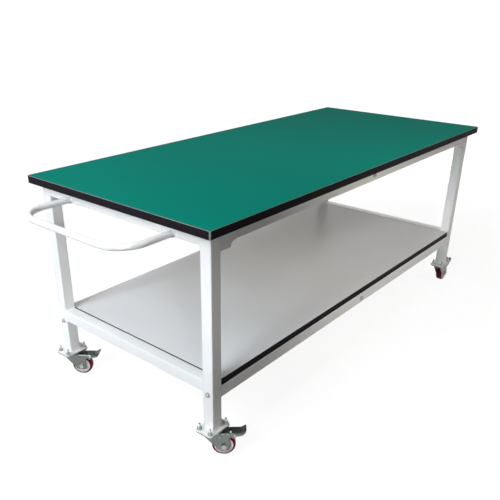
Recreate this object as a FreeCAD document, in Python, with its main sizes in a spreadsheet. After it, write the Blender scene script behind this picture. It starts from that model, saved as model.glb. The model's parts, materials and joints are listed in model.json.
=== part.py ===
import FreeCAD, Part
import math
import os
import re
import Sketcher

# Driving sizes of the bench, millimetres and degrees
SIZES = {
    # Worktop and shelf boards
    "bench_length": 1800,
    "bench_width": 800,
    "bench_height": 760,
    "worktop": 25,
    "shelf": 22,
    "laminate": 1,
    "edge_band": 2,
    "edge_round": 0.8,
    "board_corner": 6,
    "end_overhang": 33,
    "side_overhang": 28,
    "shelf_gap": 3,
    "shelf_setback": 2,
    # Tube frame
    "tube": 40,
    "tube_wall": 1.5,
    "tube_corner": 3,
    "lower_rail_top": 248,
    "lower_end_top": 271.5,
    "plug": 5,
    "plug_gap": 0.1,
    # Brackets under the ends of the upper side rails
    "bracket_plate": 5,
    "bracket_cheek": 3,
    "bracket_length": 62,
    "bracket_flat": 41,
    "bracket_drop": 17,
    "bracket_tail": 1.5,
    "bracket_curve": 14,
    "bracket_bolt_drop": 9,
    # Push handle
    "handle_tube": 20,
    "handle_wall": 1.5,
    "handle_spread": 458,
    "handle_reach": 185,
    "handle_bend": 90,
    "handle_lift": 10,
    # Rail bolts with washers and nuts
    "rail_bolt": 8,
    "rail_head": 14,
    "rail_head_height": 4.4,
    "rail_socket": 5,
    "rail_socket_depth": 2.6,
    "rail_washer": 17,
    "rail_washer_thick": 1.6,
    "rail_nut_flats": 13,
    "rail_nut_height": 6.5,
    "bracket_bolt": 6,
    "bracket_head": 10.5,
    "bracket_head_height": 3.3,
    "bracket_socket": 4,
    "bracket_socket_depth": 1.8,
    "bracket_nut_flats": 10,
    "bracket_nut_height": 5,
    "bolt_end": 2,
    "bolt_play": 0.2,
    # Screws that hold the boards to the rails
    "screw": 5,
    "screw_head": 9,
    "screw_head_height": 3,
    "screw_bite": 14,
    "screw_play": 0.05,
    "screw_place": 600,
    # Caster plates and their bolts
    "caster_height": 96,
    "caster_plate": 3,
    "base_plate": 5,
    "plate_length": 92,
    "plate_width": 64,
    "plate_corner": 6,
    "bolt_long": 72,
    "bolt_short": 44,
    "caster_bolt": 8,
    "caster_bolt_flats": 13,
    "caster_bolt_head": 5,
    "caster_nut_height": 6.5,
    "caster_washer": 16,
    "caster_washer_thick": 1.6,
    "caster_bolt_stand": 13,
    # Swivel bearing and king pin
    "ball": 6.35,
    "ball_play": 0.1,
    "ball_count": 10,
    "ball_circle": 44,
    "race_rib": 1.3,
    "race_inner": 34,
    "race_outer": 54,
    "king_pin": 10,
    "king_head": 18,
    "king_head_height": 4,
    "running_gap": 0.05,
    "seat_gap": 0.1,
    # Fork
    "fork_sheet": 3,
    "fork_bend": 4,
    "fork_lead": 28,
    "fork_lead_depth": 9,
    "crown_disc": 62,
    "crown_skirt": 2,
    "crown_skirt_height": 4.5,
    "crown_end": 53,
    "boss_radius": 16,
    "throat_out": 52,
    "throat_round": 6,
    "hub_gap": 0.75,
    # Wheel
    "wheel_diameter": 75,
    "tread_width": 28,
    "tread_thick": 8,
    "tread_shoulder": 7,
    "trail": 34,
    "rim_width": 26,
    "rim_inner": 47,
    "web": 8,
    "hub": 34,
    "hub_width": 30,
    "hub_step": 20,
    "bearing": 26,
    "bearing_width": 8,
    "shield_inner": 15,
    "shield_outer": 22,
    "shield_depth": 0.6,
    "spacer": 14,
    "axle": 10,
    "axle_flats": 16,
    "axle_head": 6,
    "axle_nut": 7,
    # Brake lever and pedal
    "brake_out": 68,
    "brake_arm": 8,
    "brake_pin": 6,
    "brake_pin_head": 9,
    "brake_pin_head_height": 1.6,
    "brake_swing": 18,
    "shoe_gap": 0.35,
    "shoe_round": 5.5,
    "lever_gap": 0.75,
    "lever_sheet": 2,
    "lever_ear": 5.4,
    "lever_foot": 5,
    "lever_run": 13,
    "lever_rise": 5.5,
    "lever_lip": 5,
    "lever_end": 97,
    "pedal_reach": 104,
    "pedal_width": 28,
    "pedal_start": 57,
    "pedal_thick": 4.5,
    "pedal_tip_rise": 13,
    "pedal_tip_run": 4,
    "pedal_tip_thick": 3,
    "pedal_heel": 17,
    "pedal_round": 1,
    "groove": 2,
    "groove_depth": 1.2,
    "groove_step": 6,
    "groove_count": 4,
    "groove_margin": 4,
    # Rest direction of each caster's trail
    "front_left_trail": -49,
    "rear_left_trail": -54,
}

# Sizes worked out from the driving ones
DERIVED = {
    "leg_x": "bench_length / 2 - end_overhang - tube / 2",
    "leg_y": "bench_width / 2 - side_overhang - tube / 2",
    "handle_out": "leg_x + tube / 2 + handle_reach + handle_tube / 2",
    "pedal_out": "leg_x + pedal_reach",
    "middle_x": "(handle_out - pedal_out) / 2",
    "left_x": "middle_x - leg_x",
    "right_x": "middle_x + leg_x",
    "front_y": "-leg_y",
    "rear_y": "leg_y",
    "board_bottom": "bench_height - worktop",
    "rail_bottom": "board_bottom - tube",
    "upper_mid": "board_bottom - tube / 2",
    "lower_mid": "lower_rail_top - tube / 2",
    "lower_end_mid": "lower_end_top - tube / 2",
    "leg_bottom": "caster_height + base_plate",
    "leg_length": "board_bottom - leg_bottom",
    "cross_length": "2 * leg_y - tube",
    "span_length": "2 * leg_x - tube",
    "upper_rail_length": "span_length - 2 * bracket_plate",
    "shelf_length": "span_length - 2 * shelf_gap",
    "shelf_width": "2 * leg_y + tube - 2 * shelf_setback",
    "bolt_hole": "rail_bolt / 2 + bolt_play",
    "bolt_length": "tube + plug + rail_nut_height + bolt_end",
    "screw_hole": "screw / 2 + screw_play",
    "screw_length": "tube + screw_bite",
    "caster_shank": "caster_plate + base_plate + caster_washer_thick + caster_nut_height + caster_bolt_stand",
    "caster_hole": "caster_bolt / 2 + bolt_play",
    "plate_bottom": "caster_height - caster_plate",
    "race_bottom": "plate_bottom - race_rib",
    "crown_top": "race_bottom - ball - 2 * ball_play",
    "crown_bottom": "crown_top - fork_sheet",
    "fork_inner": "hub_width + 2 * hub_gap",
    "fork_outer": "fork_inner + 2 * fork_sheet",
    "wheel_radius": "wheel_diameter / 2",
    "core_radius": "wheel_radius - tread_thick",
    "axle_bore": "axle / 2 + running_gap",
    "axle_length": "fork_outer + axle_nut + bolt_end",
    "brake_up": "crown_top - brake_arm",
    "lever_width": "fork_inner - 2 * lever_gap",
    "lever_top": "brake_up + lever_rise",
    "shoe_angle": "atan((brake_out - trail) / (brake_up - wheel_radius)) - brake_swing * 1 deg",
    "shoe_arm": "hypot(brake_out - trail; brake_up - wheel_radius) - wheel_radius - shoe_gap - shoe_round",
    "shoe_x": "brake_out - shoe_arm * sin(shoe_angle)",
    "shoe_z": "brake_up - shoe_arm * cos(shoe_angle)",
    "pedal_top": "lever_top + pedal_thick",
    "pedal_tip_top": "lever_top + pedal_tip_rise",
    "rear_right_trail": "-front_left_trail",
}

WORD = re.compile(r"[a-z][a-z_]*")
Z_AXIS = FreeCAD.Vector(0, 0, 1)
X_AXIS = FreeCAD.Vector(1, 0, 0)
LYING = "-90"
SAME = 1e-6

doc = FreeCAD.newDocument("mobile_workbench")
sheet = doc.addObject("Spreadsheet::Sheet", "sizes")
for row, (alias, number) in enumerate(SIZES.items(), start=1):
    sheet.set("A%d" % row, str(number))
    sheet.setAlias("A%d" % row, alias)
doc.recompute()

nodes = []


def formula(text):
    """Write a size expression out in terms of the sheet's cells."""

    def spell(match):
        word = match.group(0)
        if word in DERIVED:
            return "(" + formula(DERIVED[word]) + ")"
        return "sizes." + word if word in SIZES else word

    return WORD.sub(spell, text)


def value(text):
    """Work a size expression out as a number."""
    return float(sheet.evalExpression(formula(text)))


def place(thing, at, axis=Z_AXIS, turn="0"):
    """Bind a piece's position, and its turn about one axis, to the sheet."""
    thing.Placement = FreeCAD.Placement(FreeCAD.Vector(), FreeCAD.Rotation(axis, value(turn)))
    for letter, text in zip("xyz", at):
        thing.setExpression("Placement.Base." + letter, formula(text))
    if axis == Z_AXIS:
        thing.setExpression("Placement.Rotation.Angle", formula(turn))


def new_body(name):
    """Start a piece that is built from sketches."""
    return doc.addObject("PartDesign::Body", name)


def new_sketch(body, plane, offset=("0", "0", "0")):
    """Put a sketch on one of the body's own planes, moved by an offset in the sketch's axes."""
    sketch = body.newObject("Sketcher::SketchObject", body.Name + "_sketch")
    support = next(f for f in body.Origin.OriginFeatures if f.Role == plane)
    sketch.AttachmentSupport = [(support, "")]
    sketch.MapMode = "FlatFace"
    for letter, text in zip("xyz", offset):
        sketch.setExpression("AttachmentOffset.Base." + letter, formula(text))
    return sketch


def fix_size(sketch, kind, arguments, text):
    """Add one dimension to a sketch and bind it to the sheet."""
    number = sketch.addConstraint(Sketcher.Constraint(kind, *arguments, value(text)))
    sketch.setExpression("Constraints[%d]" % number, formula(text))


def fix_point(sketch, index, position, x, y):
    """Dimension a point of a sketch from the sketch's origin."""
    fix_size(sketch, "DistanceX", (-1, 1, index, position), x)
    fix_size(sketch, "DistanceY", (-1, 1, index, position), y)


def draw_circle(sketch, x, y, radius):
    """Draw a dimensioned circle."""
    centre = FreeCAD.Vector(value(x), value(y), 0)
    index = sketch.addGeometry(Part.Circle(centre, Z_AXIS, value(radius)))
    fix_point(sketch, index, 3, x, y)
    fix_size(sketch, "Radius", (index,), radius)


def draw_outline(sketch, corners, closed=True):
    """Draw straight edges through corners given as (x, y) or (x, y, radius), with rounded corners as arcs."""
    count = len(corners)
    points = [FreeCAD.Vector(value(c[0]), value(c[1]), 0) for c in corners]
    enters = list(points)
    leaves = list(points)
    centres = {}
    for i, corner in enumerate(corners):
        if len(corner) < 3:
            continue
        back = (points[i - 1] - points[i]).normalize()
        ahead = (points[(i + 1) % count] - points[i]).normalize()
        half = back.getAngle(ahead) / 2
        run = value(corner[2]) / math.tan(half)
        enters[i] = points[i] + back * run
        leaves[i] = points[i] + ahead * run
        centres[i] = points[i] + (back + ahead).normalize() * (value(corner[2]) / math.sin(half))
    edges = range(count if closed else count - 1)
    lines = [sketch.addGeometry(Part.LineSegment(leaves[i], enters[(i + 1) % count])) for i in edges]
    for i, corner in enumerate(corners):
        if not closed and i in (0, count - 1):
            fix_point(sketch, lines[min(i, count - 2)], 1 if i == 0 else 2, corner[0], corner[1])
        elif i in centres:
            turn_corner(sketch, lines[i - 1], lines[i], centres[i], enters[i], leaves[i], points[i], corner)
        else:
            sketch.addConstraint(Sketcher.Constraint("Coincident", lines[i - 1], 2, lines[i], 1))
            fix_point(sketch, lines[i], 1, corner[0], corner[1])


def turn_corner(sketch, line_in, line_out, centre, enter, leave, point, corner):
    """Round one corner of an outline with an arc tangent to both edges."""
    start = enter - centre
    end = leave - centre
    leftward = start.cross(end).z > 0
    first, last = (start, end) if leftward else (end, start)
    circle = Part.Circle(centre, Z_AXIS, value(corner[2]))
    arc = sketch.addGeometry(
        Part.ArcOfCircle(circle, math.atan2(first.y, first.x), math.atan2(last.y, last.x))
    )
    sketch.addConstraint(Sketcher.Constraint("Tangent", line_in, 2, arc, 1 if leftward else 2))
    sketch.addConstraint(Sketcher.Constraint("Tangent", arc, 2 if leftward else 1, line_out, 1))
    fix_size(sketch, "Radius", (arc,), corner[2])
    mark = sketch.addGeometry(Part.Point(point), True)
    sketch.addConstraint(Sketcher.Constraint("PointOnObject", mark, 1, line_in))
    sketch.addConstraint(Sketcher.Constraint("PointOnObject", mark, 1, line_out))
    fix_point(sketch, mark, 1, corner[0], corner[1])


def rectangle(low_x, low_y, high_x, high_y, radius=None):
    """Corners of a rectangle, all rounded alike if a radius is given."""
    extra = (radius,) if radius else ()
    spots = ((low_x, low_y), (high_x, low_y), (high_x, high_y), (low_x, high_y))
    return [spot + extra for spot in spots]


def centred(wide, high, radius=None):
    """Corners of a rectangle about the sketch's origin."""
    half_wide = "(%s) / 2" % wide
    half_high = "(%s) / 2" % high
    return rectangle("-" + half_wide, "-" + half_high, half_wide, half_high, radius)


def pad(body, sketch, length, both_ways=False):
    """Extrude a sketch, along its normal or half to each side."""
    feature = body.newObject("PartDesign::Pad", body.Name + "_pad")
    feature.Profile = sketch
    feature.SideType = "Symmetric" if both_ways else "One side"
    feature.setExpression("Length", formula(length))
    doc.recompute()
    return feature


def pocket(body, sketch, length=None, both_ways=True, reverse=False):
    """Cut a sketch out of a body, right through unless a length is given, and see that it cut."""
    before = body.Shape.Volume
    feature = body.newObject("PartDesign::Pocket", body.Name + "_pocket")
    feature.Profile = sketch
    feature.SideType = "Symmetric" if both_ways else "One side"
    feature.Reversed = reverse
    if length:
        feature.setExpression("Length", formula(length))
    else:
        feature.Type = "ThroughAll"
    doc.recompute()
    if body.Shape.Volume >= before:
        raise ValueError(feature.Label + " cuts nothing")
    return feature


def revolve(body, sketch, axis):
    """Turn a sketch about one of its own axes."""
    feature = body.newObject("PartDesign::Revolution", body.Name + "_turn")
    feature.Profile = sketch
    feature.ReferenceAxis = (sketch, [axis])
    doc.recompute()
    return feature


def dress_edges(body, kind, names, size):
    """Fillet or chamfer named edges of the body's last feature."""
    base = body.Tip
    feature = body.newObject("PartDesign::" + kind, body.Name + "_" + kind.lower())
    feature.Base = (base, names)
    feature.setExpression("Radius" if kind == "Fillet" else "Size", formula(size))
    doc.recompute()


def link(target, at, axis=Z_AXIS, turn="0", name="copy"):
    """Set another copy of a piece at its own place."""
    copy = doc.addObject("App::Link", name)
    copy.LinkedObject = target
    place(copy, at, axis, turn)
    return copy


def group(name, members):
    """Hold several loose pieces as one object."""
    bundle = doc.addObject("Part::Compound", name)
    bundle.Links = members
    return bundle


def keep(thing, label):
    """List a finished piece as a node of the bench."""
    thing.Label = label
    nodes.append(thing)


def board_sheet(name, wide, deep, thick, corner, holes=()):
    """Flat sheet on its underside, with rounded corners and holes given as (x, y, radius, depth)."""
    body = new_body(name)
    sketch = new_sketch(body, "XY_Plane")
    draw_outline(sketch, centred(wide, deep, corner))
    pad(body, sketch, thick)
    for x, y, radius, depth in holes:
        sketch = new_sketch(body, "XY_Plane")
        draw_circle(sketch, x, y, radius)
        pocket(body, sketch, depth, both_ways=False, reverse=True)
    return body


def band_ring(name, wide, deep, tall):
    """Edge band round a board, its outer top and bottom edges eased."""
    body = new_body(name)
    sketch = new_sketch(body, "XY_Plane")
    draw_outline(sketch, centred(wide, deep, "board_corner"))
    pad(body, sketch, tall)
    outer = [
        "Edge%d" % (i + 1)
        for i, edge in enumerate(body.Shape.Edges)
        if edge.BoundBox.ZLength < SAME
    ]
    dress_edges(body, "Chamfer", outer, "edge_round")
    sketch = new_sketch(body, "XY_Plane")
    inner_corner = "board_corner - edge_band"
    draw_outline(sketch, centred(wide + " - 2 * edge_band", deep + " - 2 * edge_band", inner_corner))
    pocket(body, sketch)
    return body


def make_worktop():
    """Worktop: particle board core with a laminate above, a backing below and a band round its edge."""
    wide = "bench_length - 2 * edge_band"
    deep = "bench_width - 2 * edge_band"
    corner = "board_corner - edge_band"
    spots = [(sx + "screw_place", y) for sx in ("", "-") for y in ("front_y", "rear_y")]
    through = [(x, y, "screw_hole", None) for x, y in spots]
    blind = [(x, y, "screw_hole", "screw_bite - laminate + bolt_play") for x, y in spots]
    layers = (
        ("worktop_backing", "laminate", "board_bottom", through),
        ("worktop_core", "worktop - 2 * laminate", "board_bottom + laminate", blind),
        ("worktop_laminate", "laminate", "bench_height - laminate", ()),
    )
    for label, thick, height, holes in layers:
        body = board_sheet(label, wide, deep, thick, corner, holes)
        place(body, ("middle_x", "0", height))
        keep(body, label)
    band = band_ring("worktop_edge_band", "bench_length", "bench_width", "worktop")
    place(band, ("middle_x", "0", "board_bottom"))
    keep(band, "worktop_edge_band")


def make_shelf():
    """Shelf: a thinner board, laminated on top only, lying on the lower side rails."""
    wide = "shelf_length - 2 * edge_band"
    deep = "shelf_width - 2 * edge_band"
    corner = "board_corner - edge_band"
    spots = [(sx + "screw_place", y) for sx in ("", "-") for y in ("front_y", "rear_y")]
    blind = [(x, y, "screw_hole", "screw_bite + bolt_play") for x, y in spots]
    core = board_sheet("shelf_core", wide, deep, "shelf - laminate", corner, blind)
    place(core, ("middle_x", "0", "lower_rail_top"))
    keep(core, "shelf_core")
    top = board_sheet("shelf_laminate", wide, deep, "laminate", corner)
    place(top, ("middle_x", "0", "lower_rail_top + shelf - laminate"))
    keep(top, "shelf_laminate")
    band = band_ring("shelf_edge_band", "shelf_length", "shelf_width", "shelf")
    place(band, ("middle_x", "0", "lower_rail_top"))
    keep(band, "shelf_edge_band")


def square_tube(name, plane, length, both_ways):
    """Square steel tube with rounded corners."""
    body = new_body(name)
    sketch = new_sketch(body, plane)
    draw_outline(sketch, centred("tube", "tube", "tube_corner"))
    bore = "tube - 2 * tube_wall"
    draw_outline(sketch, centred(bore, bore, "tube_corner - tube_wall"))
    pad(body, sketch, length, both_ways)
    return body


def bore_hole(body, plane, x, y, radius, both_ways=True):
    """Drill one round hole square to a plane of the body, to both sides or along the plane's normal."""
    sketch = new_sketch(body, plane)
    draw_circle(sketch, x, y, radius)
    pocket(body, sketch, both_ways=both_ways, reverse=not both_ways)


def make_frame():
    """Two welded end frames, four side rails and two cross rails."""
    leg = square_tube("leg_tube", "XY_Plane", "leg_length", False)
    bore_hole(leg, "YZ_Plane", "0", "lower_mid - leg_bottom", "bolt_hole")
    bracket_hole = "rail_bottom - bracket_bolt_drop - leg_bottom"
    bore_hole(leg, "YZ_Plane", "0", bracket_hole, "bracket_bolt / 2 + bolt_play", both_ways=False)
    for side, x, turn in (("left", "left_x", "0"), ("right", "right_x", "180")):
        for end, y in (("front", "front_y"), ("rear", "rear_y")):
            keep(link(leg, (x, y, "leg_bottom"), turn=turn), "%s_%s_leg" % (end, side))
    cross = square_tube("cross_tube", "XZ_Plane", "cross_length", True)
    for side, x in (("left", "left_x"), ("right", "right_x")):
        keep(link(cross, (x, "0", "upper_mid")), side + "_upper_end_rail")
        keep(link(cross, (x, "0", "lower_end_mid")), side + "_lower_end_rail")
    keep(link(cross, ("middle_x", "0", "upper_mid")), "upper_cross_rail")
    keep(link(cross, ("middle_x", "0", "lower_mid")), "lower_cross_rail")
    for level, length, height in (
        ("upper", "upper_rail_length", "upper_mid"),
        ("lower", "span_length", "lower_mid"),
    ):
        rail = square_tube(level + "_tube", "YZ_Plane", length, True)
        bore_hole(rail, "XZ_Plane", "0", "0", "bolt_hole")
        for x in ("screw_place", "-screw_place"):
            bore_hole(rail, "XY_Plane", x, "0", "screw_hole")
        for end, y in (("front", "front_y"), ("rear", "rear_y")):
            keep(link(rail, ("middle_x", y, height)), "%s_%s_side_rail" % (level, end))


def make_rail_fittings():
    """Folded brackets at the upper side rails' ends and bored plugs in the bolted tube ends."""
    bracket = new_body("rail_bracket")
    sketch = new_sketch(bracket, "XZ_Plane")
    draw_outline(
        sketch,
        [
            ("0", "-bracket_drop"),
            ("bracket_flat", "-bracket_drop"),
            ("bracket_flat", "-bracket_tail", "bracket_curve"),
            ("bracket_length", "-bracket_tail"),
            ("bracket_length", "0"),
            ("bracket_plate", "0"),
            ("bracket_plate", "tube"),
            ("0", "tube"),
        ],
    )
    pad(bracket, sketch, "tube", both_ways=True)
    sketch = new_sketch(bracket, "XZ_Plane")
    draw_outline(sketch, rectangle("bracket_plate", "-2 * bracket_drop", "2 * bracket_length", "tube"))
    pocket(bracket, sketch, "tube - 2 * bracket_cheek")
    bore_hole(bracket, "YZ_Plane", "0", "-bracket_bolt_drop", "bracket_bolt / 2 + bolt_play")
    plug = new_body("tube_plug")
    sketch = new_sketch(plug, "YZ_Plane")
    inner = "tube - 2 * tube_wall - 2 * plug_gap"
    draw_outline(sketch, centred(inner, inner, "tube_corner - tube_wall"))
    draw_circle(sketch, "0", "0", "bolt_hole")
    pad(plug, sketch, "plug")
    fittings = []
    for y in ("front_y", "rear_y"):
        fittings.append(link(bracket, ("left_x + tube / 2", y, "rail_bottom")))
        fittings.append(link(bracket, ("right_x - tube / 2", y, "rail_bottom"), turn="180"))
        fittings.append(link(plug, ("left_x + tube / 2", y, "lower_mid")))
        fittings.append(link(plug, ("right_x - tube / 2", y, "lower_mid"), turn="180"))
    for height in ("upper_mid", "lower_mid"):
        fittings.append(link(plug, ("middle_x", "front_y + tube / 2", height), turn="90"))
        fittings.append(link(plug, ("middle_x", "rear_y - tube / 2", height), turn="-90"))
    keep(group("rail_fittings", fittings), "rail_brackets_and_plugs")


def button_bolt(name, thread, head, head_height, socket, socket_depth, length, seat):
    """Socket button bolt along +X, its head seated a washer's thickness before the origin."""
    body = new_body(name)
    sketch = new_sketch(body, "XY_Plane")
    face = "-(%s) - (%s)" % (seat, head_height)
    draw_outline(
        sketch,
        [
            (face, "0"),
            (length, "0"),
            (length, "(%s) / 2" % thread),
            ("-(%s)" % seat, "(%s) / 2" % thread),
            ("-(%s)" % seat, "(%s) / 2" % head),
            (face, "(%s) / 2" % head, "(%s) * 0.7" % head_height),
        ],
    )
    revolve(body, sketch, "H_Axis")
    sketch = new_sketch(body, "YZ_Plane", ("0", "0", face))
    draw_hexagon(sketch, socket)
    pocket(body, sketch, socket_depth, both_ways=False, reverse=True)
    return body


def draw_hexagon(sketch, flats):
    """Draw a regular hexagon of a given width across flats about the sketch's origin."""
    corners = [
        ("(%s) / sqrt(3) * cos(%d)" % (flats, 60 * i), "(%s) / sqrt(3) * sin(%d)" % (flats, 60 * i))
        for i in range(6)
    ]
    draw_outline(sketch, corners)


def ring_piece(name, plane, outer, inner, thick):
    """Flat ring such as a washer, standing on its plane."""
    body = new_body(name)
    sketch = new_sketch(body, plane)
    draw_circle(sketch, "0", "0", outer)
    draw_circle(sketch, "0", "0", inner)
    pad(body, sketch, thick)
    return body


def hexagon_nut(name, plane, flats, bore, height):
    """Hexagon nut standing on its plane."""
    body = new_body(name)
    sketch = new_sketch(body, plane)
    draw_hexagon(sketch, flats)
    draw_circle(sketch, "0", "0", bore)
    pad(body, sketch, height)
    return body


def make_rail_bolts():
    """Bolts, washers and nuts of the bolted rail ends."""
    bolt = button_bolt(
        "rail_bolt_piece", "rail_bolt", "rail_head", "rail_head_height", "rail_socket",
        "rail_socket_depth", "bolt_length", "rail_washer_thick",
    )
    washer = ring_piece("rail_washer_piece", "YZ_Plane", "rail_washer / 2", "bolt_hole", "rail_washer_thick")
    place(washer, ("-rail_washer_thick", "0", "0"))
    nut = hexagon_nut("rail_nut_piece", "YZ_Plane", "rail_nut_flats", "bolt_hole", "rail_nut_height")
    place(nut, ("tube + plug", "0", "0"))
    rail_set = group("rail_bolt_set", [bolt, washer, nut])
    bracket_bolt = button_bolt(
        "bracket_bolt_piece", "bracket_bolt", "bracket_head", "bracket_head_height", "bracket_socket",
        "bracket_socket_depth", "bracket_plate + tube_wall + bracket_nut_height + bolt_end", "0",
    )
    bracket_nut = hexagon_nut(
        "bracket_nut_piece", "YZ_Plane", "bracket_nut_flats", "bracket_bolt / 2 + bolt_play",
        "bracket_nut_height",
    )
    place(bracket_nut, ("bracket_plate + tube_wall", "0", "0"))
    bracket_set = group("bracket_bolt_set", [bracket_bolt, bracket_nut])
    sets = []
    for y in ("front_y", "rear_y"):
        height = "rail_bottom - bracket_bolt_drop"
        inset = "tube / 2 + bracket_plate"
        sets.append(link(rail_set, ("left_x - tube / 2", y, "lower_mid")))
        sets.append(link(rail_set, ("right_x + tube / 2", y, "lower_mid"), turn="180"))
        sets.append(link(bracket_set, ("left_x + " + inset, y, height), turn="180"))
        sets.append(link(bracket_set, ("right_x - (%s)" % inset, y, height)))
    for height in ("upper_mid", "lower_mid"):
        sets.append(link(rail_set, ("middle_x", "front_y - tube / 2", height), turn="90"))
        sets.append(link(rail_set, ("middle_x", "rear_y + tube / 2", height), turn="-90"))
    keep(group("rail_bolt_sets", sets), "rail_bolts")


def make_board_screws():
    """Pan head screws driven up through the side rails into the boards."""
    screw = new_body("screw_piece")
    sketch = new_sketch(screw, "XZ_Plane")
    draw_outline(
        sketch,
        [
            ("0", "-screw_head_height"),
            ("screw_head / 2", "-screw_head_height", "screw_head_height * 0.6"),
            ("screw_head / 2", "0"),
            ("screw / 2", "0"),
            ("screw / 2", "screw_length - screw / 2"),
            ("0", "screw_length"),
        ],
    )
    revolve(screw, sketch, "V_Axis")
    screws = [
        link(screw, ("middle_x %s screw_place" % sign, y, height))
        for sign in ("+", "-")
        for y in ("front_y", "rear_y")
        for height in ("rail_bottom", "lower_rail_top - tube")
    ]
    keep(group("screws", screws), "board_screws")


def make_handle():
    """Push handle: one bent tube butted on the outer face of the left upper end rail."""
    body = new_body("handle_tube_piece")
    path = new_sketch(body, "XY_Plane")
    side = "handle_spread / 2"
    draw_outline(
        path,
        [
            ("0", "-" + side),
            ("-handle_reach", "-" + side, "handle_bend"),
            ("-handle_reach", side, "handle_bend"),
            ("0", side),
        ],
        closed=False,
    )
    profile = new_sketch(body, "YZ_Plane")
    draw_circle(profile, "-" + side, "0", "handle_tube / 2")
    draw_circle(profile, "-" + side, "0", "handle_tube / 2 - handle_wall")
    doc.recompute()
    pipe = body.newObject("PartDesign::AdditivePipe", "handle_pipe")
    pipe.Profile = profile
    pipe.Spine = path
    place(body, ("left_x - tube / 2", "0", "rail_bottom + handle_lift"))
    keep(body, "push_handle")


def plate_holes(body):
    """Drill the four caster bolt holes of a plate."""
    for x in ("bolt_long / 2", "-bolt_long / 2"):
        for y in ("bolt_short / 2", "-bolt_short / 2"):
            bore_hole(body, "XY_Plane", x, y, "caster_hole")


def make_caster_plates():
    """Base plates welded under the legs, and caster top plates riveted to their king pins."""
    corners = [(x, y) for x in ("left_x", "right_x") for y in ("front_y", "rear_y")]
    base = board_sheet("base_plate_piece", "plate_length", "plate_width", "base_plate", "plate_corner")
    plate_holes(base)
    bases = [link(base, (x, y, "caster_height")) for x, y in corners]
    keep(group("bases", bases), "base_plates")
    top = board_sheet("top_plate_piece", "plate_length", "plate_width", "caster_plate", "plate_corner")
    sketch = new_sketch(top, "XY_Plane", ("0", "0", "-race_rib"))
    draw_circle(sketch, "0", "0", "race_outer / 2")
    draw_circle(sketch, "0", "0", "race_inner / 2")
    pad(top, sketch, "race_rib")
    plate_holes(top)
    bore_hole(top, "XY_Plane", "0", "0", "king_pin / 2")
    pin = new_body("king_pin_piece")
    sketch = new_sketch(pin, "XZ_Plane")
    head_top = "crown_bottom - seat_gap"
    draw_outline(
        sketch,
        [
            ("0", head_top + " - king_head_height"),
            ("king_head / 2", head_top + " - king_head_height", "king_head_height / 2"),
            ("king_head / 2", head_top),
            ("king_pin / 2", head_top),
            ("king_pin / 2", "caster_height"),
            ("0", "caster_height"),
        ],
    )
    revolve(pin, sketch, "V_Axis")
    plates = [link(top, (x, y, "plate_bottom")) for x, y in corners]
    pins = [link(pin, (x, y, "0")) for x, y in corners]
    keep(group("top_plates", plates + pins), "caster_plates")


def hexagon_bolt(name, thread, flats, head_height, length):
    """Hexagon bolt along +Z, its head under the origin."""
    body = new_body(name)
    sketch = new_sketch(body, "XY_Plane", ("0", "0", "-(%s)" % head_height))
    draw_hexagon(sketch, flats)
    pad(body, sketch, head_height)
    sketch = new_sketch(body, "XY_Plane")
    draw_circle(sketch, "0", "0", "(%s) / 2" % thread)
    pad(body, sketch, length)
    return body


def make_caster_bolts():
    """Bolts that stand up through the caster and base plates, with washers and nuts on top."""
    bolt = hexagon_bolt(
        "plate_bolt", "caster_bolt", "caster_bolt_flats", "caster_bolt_head", "caster_shank"
    )
    washer = ring_piece("plate_washer", "XY_Plane", "caster_washer / 2", "caster_hole", "caster_washer_thick")
    place(washer, ("0", "0", "caster_plate + base_plate"))
    nut = hexagon_nut("plate_nut", "XY_Plane", "caster_bolt_flats", "caster_hole", "caster_nut_height")
    place(nut, ("0", "0", "caster_plate + base_plate + caster_washer_thick"))
    bolt_set = group("plate_bolt_set", [bolt, washer, nut])
    bolts = [
        link(bolt_set, ("%s %s bolt_long / 2" % (x, sx), "%s %s bolt_short / 2" % (y, sy), "plate_bottom"))
        for x in ("left_x", "right_x")
        for y in ("front_y", "rear_y")
        for sx in "+-"
        for sy in "+-"
    ]
    keep(group("plate_bolts", bolts), "caster_bolts")


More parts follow.
